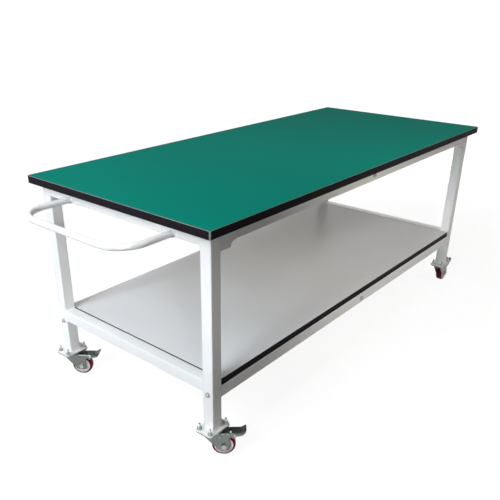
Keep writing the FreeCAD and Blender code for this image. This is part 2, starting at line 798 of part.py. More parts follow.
def make_fork():
    """Swivel fork: a folded crown with tapered sides, ball race skirt, axle holes and brake arms."""
    fork = new_body("fork_piece")
    sketch = new_sketch(fork, "XZ_Plane")
    axle_low = "wheel_radius - boss_radius"
    arm_low = "brake_up - brake_arm"
    arm_round = "brake_arm - bolt_play"
    draw_outline(
        sketch,
        [
            ("-fork_lead", "crown_top"),
            ("-fork_lead", "crown_top - fork_lead_depth", "throat_round"),
            ("trail - boss_radius", axle_low, "boss_radius - fork_sheet"),
            ("trail + boss_radius", axle_low, "boss_radius - fork_sheet"),
            ("throat_out", arm_low, "throat_round"),
            ("brake_out + brake_arm", arm_low, arm_round),
            ("brake_out + brake_arm", "crown_top", arm_round),
        ],
    )
    pad(fork, sketch, "fork_outer", both_ways=True)
    bends = [
        "Edge%d" % (i + 1)
        for i, edge in enumerate(fork.Shape.Edges)
        if edge.BoundBox.YLength + edge.BoundBox.ZLength < SAME
        and abs(edge.CenterOfMass.z - value("crown_top")) < SAME
    ]
    dress_edges(fork, "Fillet", bends, "fork_bend")
    sketch = new_sketch(fork, "XZ_Plane")
    draw_outline(sketch, rectangle("-2 * fork_lead", "0", "2 * brake_out", "crown_bottom"))
    pocket(fork, sketch, "fork_inner")
    sketch = new_sketch(fork, "XZ_Plane")
    draw_outline(sketch, rectangle("crown_end", "0", "2 * brake_out", "2 * crown_top"))
    pocket(fork, sketch, "fork_inner")
    sketch = new_sketch(fork, "XY_Plane", ("0", "0", "crown_bottom"))
    draw_circle(sketch, "0", "0", "crown_disc / 2")
    pad(fork, sketch, "fork_sheet")
    sketch = new_sketch(fork, "XY_Plane", ("0", "0", "crown_top"))
    draw_circle(sketch, "0", "0", "crown_disc / 2")
    draw_circle(sketch, "0", "0", "crown_disc / 2 - crown_skirt")
    pad(fork, sketch, "crown_skirt_height")
    bore_hole(fork, "XY_Plane", "0", "0", "king_pin / 2 + running_gap")
    bore_hole(fork, "XZ_Plane", "trail", "wheel_radius", "axle / 2 + bolt_play")
    bore_hole(fork, "XZ_Plane", "brake_out", "brake_up", "brake_pin / 2 + running_gap")
    return fork


def make_balls():
    """Balls of the swivel race, evenly spaced between the crown and the top plate."""
    ball = doc.addObject("Part::Sphere", "ball_piece")
    ball.setExpression("Radius", formula("ball / 2"))
    count = int(value("ball_count"))
    balls = [
        link(
            ball,
            (
                "ball_circle / 2 * cos(360 * %d / ball_count)" % i,
                "ball_circle / 2 * sin(360 * %d / ball_count)" % i,
                "crown_top + ball_play + ball / 2",
            ),
        )
        for i in range(count)
    ]
    return group("ball_ring", balls)


def make_pins():
    """Axle bolt with its nut, and the riveted brake pin."""
    bolt = hexagon_bolt("axle_bolt", "axle", "axle_flats", "axle_head", "axle_length")
    nut = hexagon_nut("axle_nut_piece", "XY_Plane", "axle_flats", "axle / 2 + bolt_play", "axle_nut")
    pin = new_body("brake_pin_piece")
    sketch = new_sketch(pin, "XZ_Plane")
    half = "fork_outer / 2"
    cap = half + " + brake_pin_head_height"
    draw_outline(
        sketch,
        [
            ("0", "-" + half + " - brake_pin_head_height"),
            ("brake_pin_head / 2", "-" + half + " - brake_pin_head_height", "brake_pin_head_height * 0.8"),
            ("brake_pin_head / 2", "-" + half),
            ("brake_pin / 2", "-" + half),
            ("brake_pin / 2", half),
            ("brake_pin_head / 2", half),
            ("brake_pin_head / 2", cap, "brake_pin_head_height * 0.8"),
            ("0", cap),
        ],
    )
    revolve(pin, sketch, "V_Axis")
    members = [
        link(bolt, ("trail", "-" + half, "wheel_radius"), X_AXIS, LYING),
        link(nut, ("trail", half, "wheel_radius"), X_AXIS, LYING),
        link(pin, ("brake_out", "0", "brake_up"), X_AXIS, LYING),
    ]
    return group("pin_set", members)


def turned_piece(name, corners):
    """Piece turned about the wheel's axle, from a profile of (place along the axle, radius)."""
    body = new_body(name)
    sketch = new_sketch(body, "YZ_Plane", ("0", "wheel_radius", "trail"))
    draw_outline(sketch, corners)
    revolve(body, sketch, "H_Axis")
    return body


def mirrored(half):
    """Close a turned profile whose second half mirrors the first across the wheel's middle."""
    other = [("-(%s)" % corner[0],) + corner[1:] for corner in reversed(half)]
    return half + other


def make_wheel():
    """Wheel: moulded core with hub, web and rim, a bonded tread, two ball bearings and their spacer."""
    tread = turned_piece(
        "tread_piece",
        mirrored([("tread_width / 2", "core_radius"), ("tread_width / 2", "wheel_radius", "tread_shoulder")]),
    )
    shelf = "hub_width / 2 - bearing_width"
    core = turned_piece(
        "core_piece",
        mirrored(
            [
                (shelf, "hub_step / 2"),
                (shelf, "bearing / 2"),
                ("hub_width / 2", "bearing / 2"),
                ("hub_width / 2", "hub / 2"),
                ("web / 2", "hub / 2", "laminate"),
                ("web / 2", "rim_inner / 2", "laminate"),
                ("rim_width / 2", "rim_inner / 2"),
                ("rim_width / 2", "core_radius"),
            ]
        ),
    )
    bearing = new_body("bearing_piece")
    sketch = new_sketch(bearing, "YZ_Plane", ("0", "wheel_radius", "trail"))
    recess = "bearing_width / 2 - shield_depth"
    draw_outline(
        sketch,
        mirrored(
            [
                ("bearing_width / 2", "axle_bore"),
                ("bearing_width / 2", "shield_inner / 2"),
                (recess, "shield_inner / 2"),
                (recess, "shield_outer / 2"),
                ("bearing_width / 2", "shield_outer / 2"),
                ("bearing_width / 2", "bearing / 2"),
            ]
        ),
    )
    revolve(bearing, sketch, "H_Axis")
    spacer = turned_piece("spacer_piece", mirrored([(shelf, "axle_bore"), (shelf, "spacer / 2")]))
    out = "(hub_width - bearing_width) / 2"
    bearings = [link(bearing, ("0", out, "0")), link(bearing, ("0", "-" + out, "0")), spacer]
    return tread, core, group("bearing_set", bearings)


def make_brake():
    """Brake: a folded lever whose cam swings to the tread, under a grooved pedal with an upturned tip."""
    lever = new_body("lever_piece")
    sketch = new_sketch(lever, "XZ_Plane")
    draw_outline(
        sketch,
        [
            ("brake_out", "brake_up - lever_foot"),
            ("brake_out + lever_run", "brake_up - lever_foot", "lever_lip"),
            ("lever_end", "lever_top - lever_lip", "pedal_round"),
            ("lever_end", "lever_top"),
            ("brake_out", "lever_top"),
        ],
    )
    pad(lever, sketch, "lever_width", both_ways=True)
    for x, z, radius in (("brake_out", "brake_up", "lever_ear"), ("shoe_x", "shoe_z", "shoe_round")):
        sketch = new_sketch(lever, "XZ_Plane")
        draw_circle(sketch, x, z, radius)
        pad(lever, sketch, "lever_width", both_ways=True)
    sketch = new_sketch(lever, "XZ_Plane")
    inside = "brake_out + lever_ear + lever_sheet"
    draw_outline(sketch, rectangle(inside, "0", "2 * lever_end", "lever_top - lever_sheet"))
    pocket(lever, sketch, "lever_width - 2 * lever_sheet")
    bore_hole(lever, "XZ_Plane", "brake_out", "brake_up", "brake_pin / 2 + running_gap")
    pedal = new_body("pedal_piece")
    sketch = new_sketch(pedal, "XZ_Plane")
    draw_outline(
        sketch,
        [
            ("pedal_start", "lever_top"),
            ("pedal_reach - pedal_tip_run", "lever_top", "pedal_round"),
            ("pedal_reach", "pedal_tip_top", "pedal_round"),
            ("pedal_reach - pedal_tip_thick", "pedal_tip_top", "pedal_round"),
            ("pedal_reach - pedal_heel", "pedal_top", "lever_foot"),
            ("pedal_start", "pedal_top", "pedal_round"),
        ],
    )
    pad(pedal, sketch, "pedal_width", both_ways=True)
    sketch = new_sketch(pedal, "XZ_Plane", ("0", "0", "groove_step * (groove_count - 1) / 2"))
    draw_outline(
        sketch,
        rectangle(
            "pedal_start + groove_margin", "pedal_top - groove_depth",
            "pedal_reach - pedal_heel - groove_margin", "pedal_top + groove_depth",
        ),
    )
    cut = pocket(pedal, sketch, "groove")
    rows = pedal.newObject("PartDesign::LinearPattern", "groove_rows")
    rows.Originals = [cut]
    rows.Direction = (next(f for f in pedal.Origin.OriginFeatures if f.Role == "Y_Axis"), [""])
    rows.setExpression("Length", formula("groove_step * (groove_count - 1)"))
    rows.setExpression("Occurrences", formula("groove_count"))
    pedal.Tip = rows
    return lever, pedal


def make_casters():
    """Four swivel casters, each set under its leg with its trail turned to its rest direction."""
    tread, core, bearings = make_wheel()
    lever, pedal = make_brake()
    pieces = (
        ("fork", make_fork()),
        ("swivel_balls", make_balls()),
        ("pins", make_pins()),
        ("wheel_core", core),
        ("tyre", tread),
        ("wheel_bearings", bearings),
        ("brake_lever", lever),
        ("pedal_pad", pedal),
    )
    corners = (
        ("front_left", "left_x", "front_y", "front_left_trail"),
        ("rear_left", "left_x", "rear_y", "rear_left_trail"),
        ("front_right", "right_x", "front_y", "0"),
        ("rear_right", "right_x", "rear_y", "rear_right_trail"),
    )
    for corner, x, y, turn in corners:
        for label, piece in pieces:
            keep(link(piece, (x, y, "0"), turn=turn), corner + "_" + label)


def export_nodes():
    """Check every object of the document, then write each node's solids."""
    doc.recompute()
    for thing in doc.Objects:
        if {"Invalid", "Error"} & set(thing.State):
            raise ValueError(thing.Label + " failed: " + str(thing.State))
    os.makedirs("parts", exist_ok=True)
    for node in nodes:
        if node.Shape.isNull() or not node.Shape.isValid() or not node.Shape.Solids:
            raise ValueError(node.Label + " has no valid solid")
    for node in nodes:
        node.Shape.exportStep("parts/%s.step" % node.Label)


make_worktop()
make_shelf()
make_frame()
make_rail_fittings()
make_rail_bolts()
make_board_screws()
make_handle()
make_caster_plates()
make_caster_bolts()
make_casters()
export_nodes()
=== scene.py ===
"""Looks of a mobile workbench: a laminated top on a white tube frame with a shelf, a push handle
and four braked swivel casters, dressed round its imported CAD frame. Lengths are in metres."""

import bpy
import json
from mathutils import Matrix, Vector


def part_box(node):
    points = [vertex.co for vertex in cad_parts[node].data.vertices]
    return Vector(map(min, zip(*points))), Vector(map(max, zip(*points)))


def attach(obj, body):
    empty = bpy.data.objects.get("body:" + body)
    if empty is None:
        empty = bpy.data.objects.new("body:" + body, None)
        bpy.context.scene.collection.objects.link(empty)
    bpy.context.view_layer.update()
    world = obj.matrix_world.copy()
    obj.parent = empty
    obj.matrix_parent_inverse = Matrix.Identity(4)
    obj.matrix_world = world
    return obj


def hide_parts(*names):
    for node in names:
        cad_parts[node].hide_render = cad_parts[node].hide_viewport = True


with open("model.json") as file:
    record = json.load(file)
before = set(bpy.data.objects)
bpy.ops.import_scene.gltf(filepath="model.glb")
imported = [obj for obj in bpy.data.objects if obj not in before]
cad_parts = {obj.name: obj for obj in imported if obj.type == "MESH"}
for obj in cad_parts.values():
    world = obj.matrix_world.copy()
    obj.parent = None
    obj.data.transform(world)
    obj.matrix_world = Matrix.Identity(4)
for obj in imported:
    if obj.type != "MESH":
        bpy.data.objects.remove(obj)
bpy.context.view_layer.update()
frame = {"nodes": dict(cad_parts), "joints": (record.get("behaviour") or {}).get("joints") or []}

import json
import logging
import math
from dataclasses import dataclass
from enum import Enum

import bpy
import numpy as np
from mathutils import Matrix, Vector

Tree = bpy.types.NodeTree
Socket = bpy.types.NodeSocket
Piece = bpy.types.Object
Point = tuple[float, float, float]

LOG = logging.getLogger("workbench")
MM = 0.001
TAU = 2 * math.pi
QUARTER_TURN = math.pi / 2
SIXTH_TURN = math.pi / 3
UP = Vector((0, 0, 1))

# The sockets of a Mix node that mixes colours, by index, because its kinds share their names
MIX_FACTOR, MIX_A, MIX_B, MIX_RESULT = 0, 6, 7, 2

# The sRGB curve: a straight line up to the knee, and a power of the offset share above it
SRGB_KNEE, SRGB_SLOPE, SRGB_OFFSET, SRGB_POWER = 0.04045, 12.92, 0.055, 2.4


class Slot(Enum):
    """The record's material slots."""

    GREEN_LAMINATE = "green_laminate"
    GREY_LAMINATE = "grey_laminate"
    BACKING_SHEET = "backing_sheet"
    PARTICLE_BOARD = "particle_board"
    EDGE_BAND = "black_edge_band"
    ENAMEL = "white_enamel"
    ZINC = "zinc_steel"
    BRIGHT_STEEL = "bright_steel"
    BEARING_STEEL = "bearing_steel"
    NYLON = "white_nylon"
    URETHANE = "red_polyurethane"
    PEDAL = "black_pedal"


class Corner(Enum):
    """The bench's four caster corners, by the start of their node names."""

    FRONT_LEFT = "front_left"
    REAR_LEFT = "rear_left"
    FRONT_RIGHT = "front_right"
    REAR_RIGHT = "rear_right"


class Tint(Enum):
    """The colours of the studio's light, as sRGB hex."""

    COOL = "F3F9FF"
    PALE_COOL = "F8FBFF"
    NEUTRAL = "FFFFFF"
    PALE_WARM = "FFF6E6"
    WARM = "FFF3E0"
    AMBER = "FFEBD2"


def linear(hex_colour: str) -> tuple[float, float, float, float]:
    """Turn an sRGB hex colour to linear light: a straight line near black, a power above it.

    Args:
        hex_colour: six hex digits, red first.

    Returns:
        Linear red, green and blue with full alpha.
    """
    share = np.array([int(hex_colour[i : i + 2], 16) for i in (0, 2, 4)]) / 255
    curve = ((share + SRGB_OFFSET) / (1 + SRGB_OFFSET)) ** SRGB_POWER
    light = np.where(share <= SRGB_KNEE, share / SRGB_SLOPE, curve)
    return (*map(float, light), 1.0)


def empty_tree(owner: bpy.types.Material | bpy.types.World) -> Tree:
    """Switch a material or a world to nodes and clear those that it starts with.

    Args:
        owner: the material or the world.

    Returns:
        Its empty node tree.
    """
    owner.use_nodes = True
    owner.node_tree.nodes.clear()
    return owner.node_tree


def add_node(
    tree: Tree, kind: str, inputs: dict[str | int, object] | None = None, **settings: object
) -> bpy.types.Node:
    """Add a node with its settings, values and links.

    Args:
        tree: the node tree it goes into.
        kind: Blender's node type.
        inputs: socket name or index to a value, or to the output socket that feeds it.
        settings: properties of the node itself.

    Returns:
        The new node.
    """
    node = tree.nodes.new(kind)
    for name, value in settings.items():
        setattr(node, name, value)
    for socket, value in (inputs or {}).items():
        if isinstance(value, Socket):
            tree.links.new(value, node.inputs[socket])
        else:
            node.inputs[socket].default_value = value
    return node


@dataclass(frozen=True)
class Finish:
    """A surface finish: a grain mixes two tones and sets the height and the roughness.

    Attributes:
        slot: the record's slot that it dresses.
        name: the material and how its surface was made.
        tone, shade: the two tones, as sRGB hex.
        grain_mm, depth_mm: the grain's width and height.
        roughness, roughness_spread: the mean, and how far the grain takes it either way.
        metallic, specular, coat, coat_roughness: the shader's own values.
        octaves: how many finer layers the grain's noise has.
    """

    slot: Slot
    name: str
    tone: str
    shade: str
    grain_mm: float
    depth_mm: float
    roughness: float
    roughness_spread: float
    metallic: float = 0.0
    specular: float = 0.5
    coat: float = 0.0
    coat_roughness: float = 0.1
    octaves: float = 3.0

    def grain(self, tree: Tree, point: Socket) -> Socket:
        """Draw the grain, a cloudy noise as coarse as grain_mm.

        Args:
            tree: the material's node tree.
            point: object coordinates in metres.

        Returns:
            A value from 0 to 1.
        """
        noise = add_node(
            tree,
            "ShaderNodeTexNoise",
            {"Vector": point, "Scale": 1 / (self.grain_mm * MM), "Detail": self.octaves},
        )
        return noise.outputs["Fac"]

    def colour(self, tree: Tree, point: Socket, grain: Socket) -> Socket:
        """Mix the two tones by the grain.

        Args:
            tree: the material's node tree.
            point: object coordinates in metres; not used here.
            grain: the grain's value.

        Returns:
            The colour socket.
        """
        mix = add_node(
            tree,
            "ShaderNodeMix",
            {MIX_FACTOR: grain, MIX_A: linear(self.tone), MIX_B: linear(self.shade)},
            data_type="RGBA",
        )
        return mix.outputs[MIX_RESULT]

    def build(self) -> bpy.types.Material:
        """Make the material.

        Returns:
            A node material named for the finish.
        """
        material = bpy.data.materials.new(self.name)
        tree = empty_tree(material)
        point = add_node(tree, "ShaderNodeTexCoord").outputs["Object"]
        grain = self.grain(tree, point)
        low, high = self.roughness - self.roughness_spread, self.roughness + self.roughness_spread
        gloss = add_node(
            tree, "ShaderNodeMapRange", {"Value": grain, "To Min": low, "To Max": high}
        )
        bump = add_node(
            tree,
            "ShaderNodeBump",
            {"Height": grain, "Distance": self.depth_mm * MM, "Strength": 1.0},
        )
        shader = add_node(
            tree,
            "ShaderNodeBsdfPrincipled",
            {
                "Base Color": self.colour(tree, point, grain),
                "Roughness": gloss.outputs["Result"],
                "Normal": bump.outputs["Normal"],
                "Metallic": self.metallic,
                "Specular IOR Level": self.specular,
                "Coat Weight": self.coat,
                "Coat Roughness": self.coat_roughness,
            },
        )
        add_node(tree, "ShaderNodeOutputMaterial", {"Surface": shader.outputs["BSDF"]})
        return material


@dataclass(frozen=True)
class PressedLaminate(Finish):
    """Melamine laminate pressed against a pebbled steel plate: satin, with slowly drifting tones.

    Attributes:
        drift_mm: the width of the drift's clouds.
        drift: the tone that it drifts to, as sRGB hex.
        drift_share: how far it drifts at most.
        drift_octaves: how many finer layers the clouds have.
        drift_from, drift_to: the cloud values at which the drift starts and is full.
    """

    drift_mm: float = 420.0
    drift: str = "000000"
    drift_share: float = 0.3
    drift_octaves: float = 1.0
    drift_from: float = 0.3
    drift_to: float = 0.7

    def colour(self, tree: Tree, point: Socket, grain: Socket) -> Socket:
        """Lay a slow drift of tone over the pebble grain.

        Args:
            tree: the material's node tree.
            point: object coordinates in metres.
            grain: the grain's value.

        Returns:
            The colour socket.
        """
        pebbled = super().colour(tree, point, grain)
        cloud = add_node(
            tree,
            "ShaderNodeTexNoise",
            {"Vector": point, "Scale": 1 / (self.drift_mm * MM), "Detail": self.drift_octaves},
        )
        share = add_node(
            tree,
            "ShaderNodeMapRange",
            {
                "Value": cloud.outputs["Fac"],
                "From Min": self.drift_from,
                "From Max": self.drift_to,
                "To Max": self.drift_share,
            },
        )
        mix = add_node(
            tree,
            "ShaderNodeMix",
            {MIX_FACTOR: share.outputs["Result"], MIX_A: pebbled, MIX_B: linear(self.drift)},
            data_type="RGBA",
        )
        return mix.outputs[MIX_RESULT]


@dataclass(frozen=True)
class PressedChip(Finish):
    """Particle board: flat wood chips pressed in glue, seen as cells of many tans."""

    def grain(self, tree: Tree, point: Socket) -> Socket:
        """Draw chips as cells, each with a tone of its own.

        Args:
            tree: the material's node tree.
            point: object coordinates in metres.

        Returns:
            A value from 0 to 1.
        """
        cells = add_node(
            tree, "ShaderNodeTexVoronoi", {"Vector": point, "Scale": 1 / (self.grain_mm * MM)}
        )
        parts = add_node(tree, "ShaderNodeSeparateColor", {"Color": cells.outputs["Color"]})
        return parts.outputs["Red"]


@dataclass(frozen=True)
class ExtrudedBand(Finish):
    """Extruded plastic edge band: fine streaks along its run, and a pale highlight painted on
    arrises.

    Attributes:
        arris: the tone of the highlight painted on the arrises, as sRGB hex.
        highlight_above: the height, between shelf and top, above which the highlight is painted.
        streak_ratio: how many times longer than wide a streak is.
        arris_gain: brings the arris formula's peak to one.
    """

    arris: str = "000000"
    highlight_above: float = 0.5
    streak_ratio: float = 60.0
    arris_gain: float = 4.0

    def grain(self, tree: Tree, point: Socket) -> Socket:
        """Draw streaks that change quickly up the band and slowly along it.

        Args:
            tree: the material's node tree.
            point: object coordinates in metres.

        Returns:
            A value from 0 to 1.
        """
        across = 1 / (self.grain_mm * MM)
        along = across / self.streak_ratio
        stretched = add_node(
            tree, "ShaderNodeMapping", {"Vector": point, "Scale": (along, along, across)}
        )
        noise = add_node(
            tree,
            "ShaderNodeTexNoise",
            {"Vector": stretched.outputs["Vector"], "Scale": 1.0, "Detail": self.octaves},
        )
        return noise.outputs["Fac"]

    def colour(self, tree: Tree, point: Socket, grain: Socket) -> Socket:
        """Paint a pale highlight on the arrises of the worktop's band, and not of the shelf's.

        The share is the gain times the product of the squares of two parts of the normal, which
        is one where the surface turns half way: up and level for the long arrises, along and
        across for the corners.

        Args:
            tree: the material's node tree.
            point: object coordinates in metres.
            grain: the grain's value.

        Returns:
            The colour socket.
        """
        streaked = super().colour(tree, point, grain)
        normal = add_node(tree, "ShaderNodeTexCoord").outputs["Normal"]
        square = add_node(
            tree, "ShaderNodeVectorMath", {0: normal, 1: normal}, operation="MULTIPLY"
        )
        part = add_node(
            tree, "ShaderNodeSeparateXYZ", {"Vector": square.outputs["Vector"]}
        ).outputs
        level = add_node(tree, "ShaderNodeMath", {0: part["X"], 1: part["Y"]}, operation="ADD")
        long = add_node(
            tree, "ShaderNodeMath", {0: part["Z"], 1: level.outputs[0]}, operation="MULTIPLY"
        )
        both = add_node(
            tree,
            "ShaderNodeMath",
            {0: part["X"], 1: part["Y"], 2: long.outputs[0]},
            operation="MULTIPLY_ADD",
        )
        height = add_node(tree, "ShaderNodeSeparateXYZ", {"Vector": point}).outputs["Z"]
        highlit = add_node(
            tree, "ShaderNodeMath", {0: height, 1: self.highlight_above}, operation="GREATER_THAN"
        )
        gain = add_node(
            tree,
            "ShaderNodeMath",
            {0: highlit.outputs[0], 1: self.arris_gain},
            operation="MULTIPLY",
        )
        share = add_node(
            tree,
            "ShaderNodeMath",
            {0: both.outputs[0], 1: gain.outputs[0]},
            operation="MULTIPLY",
            use_clamp=True,
        )
        # Painted highlight: the band's arrises above the shelf are mixed towards the pale arris
        # tone
        mix = add_node(
            tree,
            "ShaderNodeMix",
            {MIX_FACTOR: share.outputs[0], MIX_A: streaked, MIX_B: linear(self.arris)},
            data_type="RGBA",
        )
        return mix.outputs[MIX_RESULT]


@dataclass(frozen=True)
class MouldedPlastic(Finish):
    """Injection moulded plastic from a spark-eroded tool: an even matt stipple."""

    def grain(self, tree: Tree, point: Socket) -> Socket:
        """Draw the stipple as the distance to scattered points.

        Args:
            tree: the material's node tree.
            point: object coordinates in metres.

        Returns:
            A value from 0 to about 1.
        """
        cells = add_node(
            tree, "ShaderNodeTexVoronoi", {"Vector": point, "Scale": 1 / (self.grain_mm * MM)}
        )
        return cells.outputs["Distance"]


FINISHES: tuple[Finish, ...] = (
    # Green melamine laminate, pressed: satin, with a fine pebble drawn coarser so that it shows
    PressedLaminate(
        Slot.GREEN_LAMINATE, "green_melamine_laminate_pressed", tone="048A7A", shade="068273",
        grain_mm=1.6, depth_mm=0.012, roughness=0.5, roughness_spread=0.05, specular=0.004,
        drift="0C7868",
    ),
    # Grey melamine laminate, pressed: smoother than the green and nearly white
    PressedLaminate(
        Slot.GREY_LAMINATE, "grey_melamine_laminate_pressed", tone="F0F2F4", shade="E9EBED",
        grain_mm=1.6, depth_mm=0.008, roughness=0.25, roughness_spread=0.03, specular=0.03,
        drift="DCDDDE",
    ),
    # Balancing sheet under the top, pressed: raw resin paper, dull
    PressedLaminate(
        Slot.BACKING_SHEET, "balancing_paper_pressed", tone="CFCBC2", shade="C4BFB4",
        grain_mm=2.5, depth_mm=0.01, roughness=0.6, roughness_spread=0.05, specular=0.3,
        drift="B9B4A9",
    ),
    # Particle board, sanded: tan chips
    PressedChip(
        Slot.PARTICLE_BOARD, "particle_board_sanded", tone="B08A5C", shade="7E5C38",
        grain_mm=3.5, depth_mm=0.05, roughness=0.8, roughness_spread=0.08, specular=0.25,
    ),
    # ABS edge band, extruded: near black, with a pale highlight painted on the top's arrises
    ExtrudedBand(
        Slot.EDGE_BAND, "black_abs_band_extruded", tone="262328", shade="1B191D",
        grain_mm=1.2, depth_mm=0.01, roughness=0.42, roughness_spread=0.06, specular=0.012,
        arris="9CA29F",
    ),
    # White powder coat on steel, baked: a gentle orange peel
    Finish(
        Slot.ENAMEL, "white_powder_coat_baked", tone="F3F5F5", shade="ECEEEE",
        grain_mm=2.4, depth_mm=0.03, roughness=0.36, roughness_spread=0.05, specular=0.35,
    ),
    # Zinc plated steel, pressed and passivated: grey-green and cloudy
    Finish(
        Slot.ZINC, "zinc_plated_steel_pressed", tone="969C99", shade="343A38",
        grain_mm=5.0, depth_mm=0.03, roughness=0.32, roughness_spread=0.14, metallic=1.0,
    ),
    # Zinc plated fasteners, bright: pale grey with soft highlights
    Finish(
        Slot.BRIGHT_STEEL, "zinc_plated_bolts_bright", tone="B6BAB9", shade="8E9392",
        grain_mm=3.0, depth_mm=0.01, roughness=0.28, roughness_spread=0.08, metallic=1.0,
    ),
    # Bearing steel, ground and polished: nearly a mirror
    Finish(
        Slot.BEARING_STEEL, "bearing_steel_ground", tone="D2D3D4", shade="BFC1C3",
        grain_mm=2.0, depth_mm=0.003, roughness=0.14, roughness_spread=0.04, metallic=1.0,
    ),
    # Nylon wheel centre, moulded: off-white, with a fine stipple drawn coarser so that it shows
    MouldedPlastic(
        Slot.NYLON, "white_nylon_moulded", tone="F4F1EF", shade="ECE8E5",
        grain_mm=1.2, depth_mm=0.01, roughness=0.45, roughness_spread=0.05, specular=0.45,
    ),
    # Polyurethane tread, cast: dark red, with a thin sheen
    Finish(
        Slot.URETHANE, "red_polyurethane_cast", tone="780822", shade="540418",
        grain_mm=4.0, depth_mm=0.015, roughness=0.28, roughness_spread=0.06, specular=0.08,
        coat=0.03, coat_roughness=0.12,
    ),
    # Polypropylene pedal, moulded: black, with a fine stipple drawn coarser so that it shows
    MouldedPlastic(
        Slot.PEDAL, "black_polypropylene_moulded", tone="3E4946", shade="2B3432",
        grain_mm=0.9, depth_mm=0.02, roughness=0.36, roughness_spread=0.06, specular=0.4,
    ),
)


class Finishes:
    """Builds each finish once and dresses pieces in it."""

    def __init__(self) -> None:
        """Build every finish."""
        self.materials = {finish.slot: finish.build() for finish in FINISHES}

    def dress_node(self, node: Piece) -> None:
        """Give a CAD node the finish of the slot that it came with.

        Args:
            node: the CAD node.
        """
        slot = Slot(node.data.materials[0].name)
        node.data.materials[0] = self.materials[slot]

    def dress(self, piece: Piece, slot: Slot) -> None:
        """Put a new piece in the finish of a slot.

        Args:
            piece: the piece.
            slot: the slot it takes its finish from.
        """
        piece.data.materials.append(self.materials[slot])


class Surface:
    """Gathers grids of points and turns them into one mesh piece."""

    def __init__(self, name: str) -> None:
        """Start an empty surface.

        Args:
            name: the piece's name.
        """
        self.name = name
        self.points: list[np.ndarray] = []
        self.faces: list[list[int]] = []
        self.count = 0

    def add_grid(
        self,
        grid: np.ndarray,
        close_rows: bool = False,
        close_columns: bool = True,
        caps: bool = False,
    ) -> None:
        """Add a grid of points, joined by quads that face outwards when columns run anticlockwise.

        Args:
            grid: points as rows, columns and three coordinates.
            close_rows: whether the last row joins the first.
            close_columns: whether the last column joins the first.
            caps: whether a flat face closes the first row and another the last.
        """
        rows, columns = grid.shape[:2]
        index = np.arange(rows * columns).reshape(rows, columns) + self.count
        if caps:
            self.faces += [index[0, ::-1].tolist(), index[-1].tolist()]
        if close_rows:
            index = np.vstack((index, index[:1]))
        if close_columns:
            index = np.hstack((index, index[:, :1]))
        near, far = index[:-1], index[1:]
        quads = np.stack((near[:, :-1], near[:, 1:], far[:, 1:], far[:, :-1]), axis=-1)
        self.points.append(grid.reshape(-1, 3))
        self.faces += quads.reshape(-1, 4).tolist()
        self.count += rows * columns

    def make(self, sharp_deg: float = 35.0) -> Piece:
        """Put the grids into a mesh object.

        Args:
            sharp_deg: edges that turn more than this stay sharp.

        Returns:
            The new piece, at the origin.
        """
        mesh = bpy.data.meshes.new(self.name)
        mesh.from_pydata(np.concatenate(self.points).tolist(), [], self.faces)
        mesh.validate()
        mesh.shade_smooth()
        mesh.set_sharp_from_angle(angle=math.radians(sharp_deg))
        piece = bpy.data.objects.new(self.name, mesh)
        bpy.context.scene.collection.objects.link(piece)
        return piece


def lathe(
    radius: np.ndarray, height: np.ndarray, angle: np.ndarray, centre: Vector, axis: Vector
) -> np.ndarray:
    """Turn a profile about an axis: each point is the centre, plus the axis times the height,
    plus the radius along a direction that turns round the axis.

    Args:
        radius: radii, one per row, or one per row and column.
        height: places along the axis, one per row, or one per row and column.
        angle: turn of each column in radians.
        centre: a point on the axis.
        axis: the axis direction.

    Returns:
        A grid of points.
    """
    axis = axis.normalized()
    across = axis.orthogonal().normalized()
    side = axis.cross(across)
    shape = (len(radius), len(angle))
    reach = np.broadcast_to(radius.reshape(len(radius), -1), shape)[..., None]
    rise = np.broadcast_to(height.reshape(len(height), -1), shape)[..., None]
    turn = np.broadcast_to(angle, shape)[..., None]
    around = np.cos(turn) * np.array(across) + np.sin(turn) * np.array(side)
    return np.array(centre) + rise * np.array(axis) + reach * around


def full_turn(count: int) -> np.ndarray:
    """Share a full turn out into a count of even steps, in radians, without its end."""
    return np.linspace(0, TAU, count, endpoint=False)


def rounded_square(half: float, corner: float, count: int) -> tuple[np.ndarray, np.ndarray]:
    """Walk round a square with round corners in even steps: a straight side, then a quarter turn,
    four times over.

    Args:
        half: half the side.
        corner: the corner radius.
        count: how many points.

    Returns:
        The points and their outward unit directions, in two dimensions.
    """
    inner = half - corner
    straight, arc = 2 * inner, corner * QUARTER_TURN
    run = np.linspace(0, 4 * (straight + arc), count, endpoint=False)
    side, within = np.divmod(run, straight + arc)
    base = side * QUARTER_TURN
    turn = base + np.clip((within - straight) / corner, 0, QUARTER_TURN)
    along = np.clip(within, 0, straight) - inner
    outward = np.stack((np.cos(turn), np.sin(turn)), axis=-1)
    ahead = np.stack((-np.sin(base), np.cos(base)), axis=-1)
    facing = np.stack((np.cos(base), np.sin(base)), axis=-1)
    points = inner * facing + along[:, None] * ahead + corner * outward
    return points, outward


